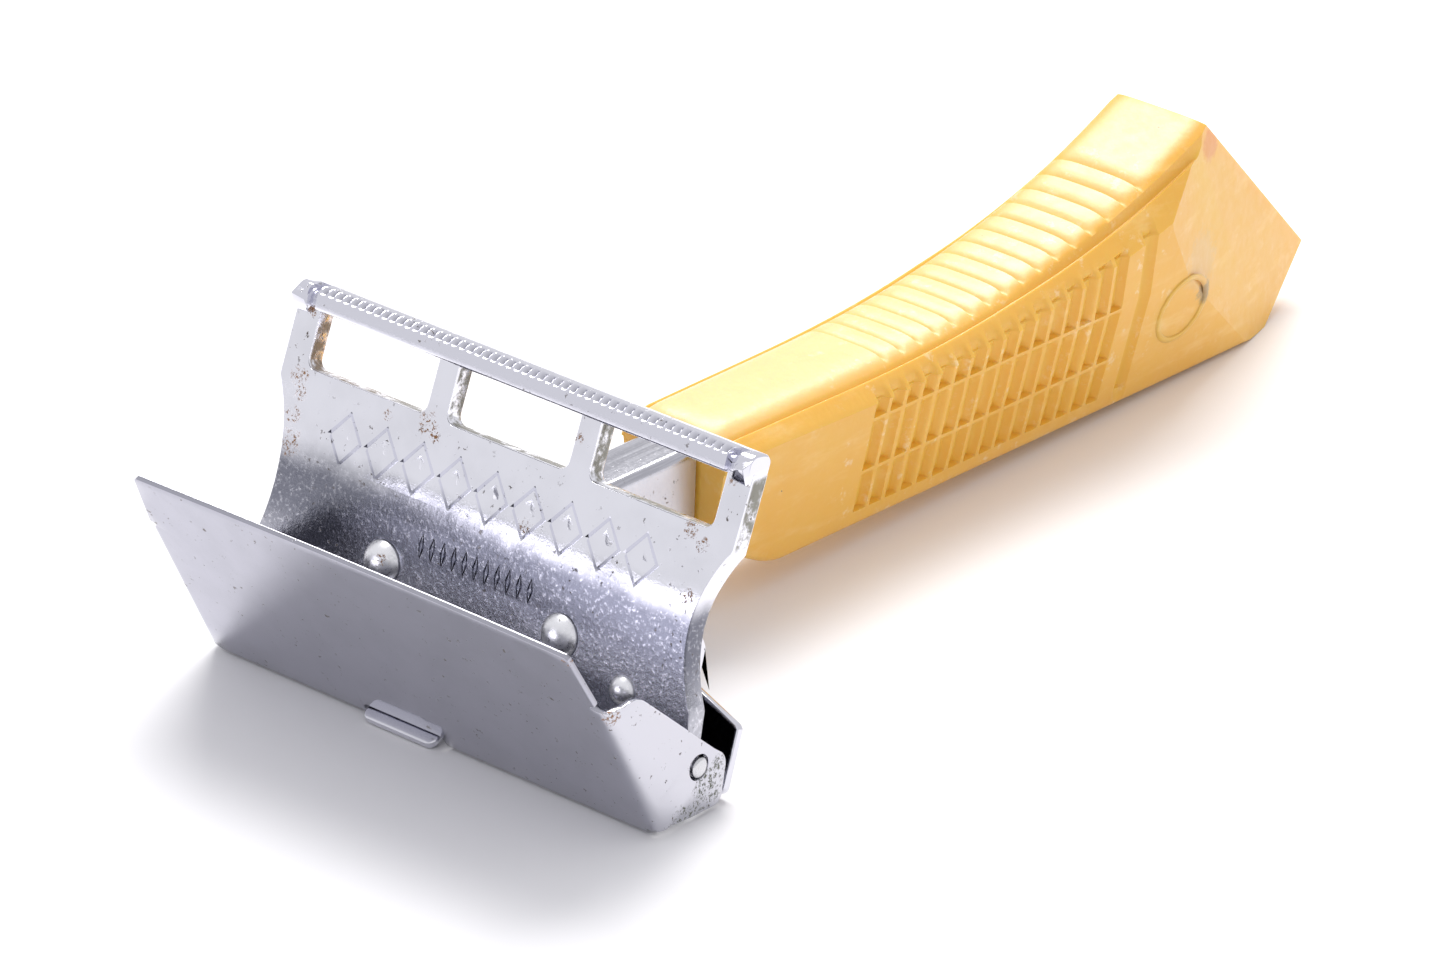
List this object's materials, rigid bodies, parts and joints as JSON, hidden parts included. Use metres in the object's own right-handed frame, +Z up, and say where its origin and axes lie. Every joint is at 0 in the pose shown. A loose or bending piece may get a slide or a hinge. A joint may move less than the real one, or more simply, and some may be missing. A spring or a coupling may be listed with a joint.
{
  "type": "single-edge safety razor with flip-open cap",
  "caption": "Single-edge safety razor lying open: toothed guard plate, hinged cap held by a sprung hook, and a flared plastic handle with ribbed grips.",
  "frame": {"origin": "centre of the object's box at floor level, with the razor lying open on a table", "axes": "+X to the razor's right seen from the head, +Y from the head to the handle's end, +Z up"},
  "size_m": [0.0428, 0.1048, 0.025],
  "materials": {
    "chrome_plate": "bright plating, pitted with age",
    "cap_chrome": "smooth bright plating with small spots",
    "neck_chrome": "plating with light streaks",
    "rivet_chrome": "polished domes with brassy wear",
    "spring_steel": "dark polished spring steel",
    "pin_steel": "plain steel with verdigris round the head",
    "yellow_plastic": "satin moulded thermoset with handling marks"
  },
  "bodies": {
    "razor_body": {"guard_plate": "chrome_plate", "neck": "neck_chrome", "handle": "yellow_plastic", "spring_plate": "spring_steel", "hinge_pin_left": "pin_steel", "hinge_pin_right": "pin_steel", "large_rivet_left": "rivet_chrome", "large_rivet_right": "rivet_chrome", "small_rivet_left": "rivet_chrome", "small_rivet_right": "rivet_chrome"},
    "cap": {"cap": "cap_chrome"}
  },
  "joints": [
    {"name": "cap_hinge", "type": "hinge", "parent": "razor_body", "child": "cap", "pos_m": [0, -0.04027, 0.00396], "axis": [1, 0, 0], "range_deg": [-49, 0]}
  ]
}
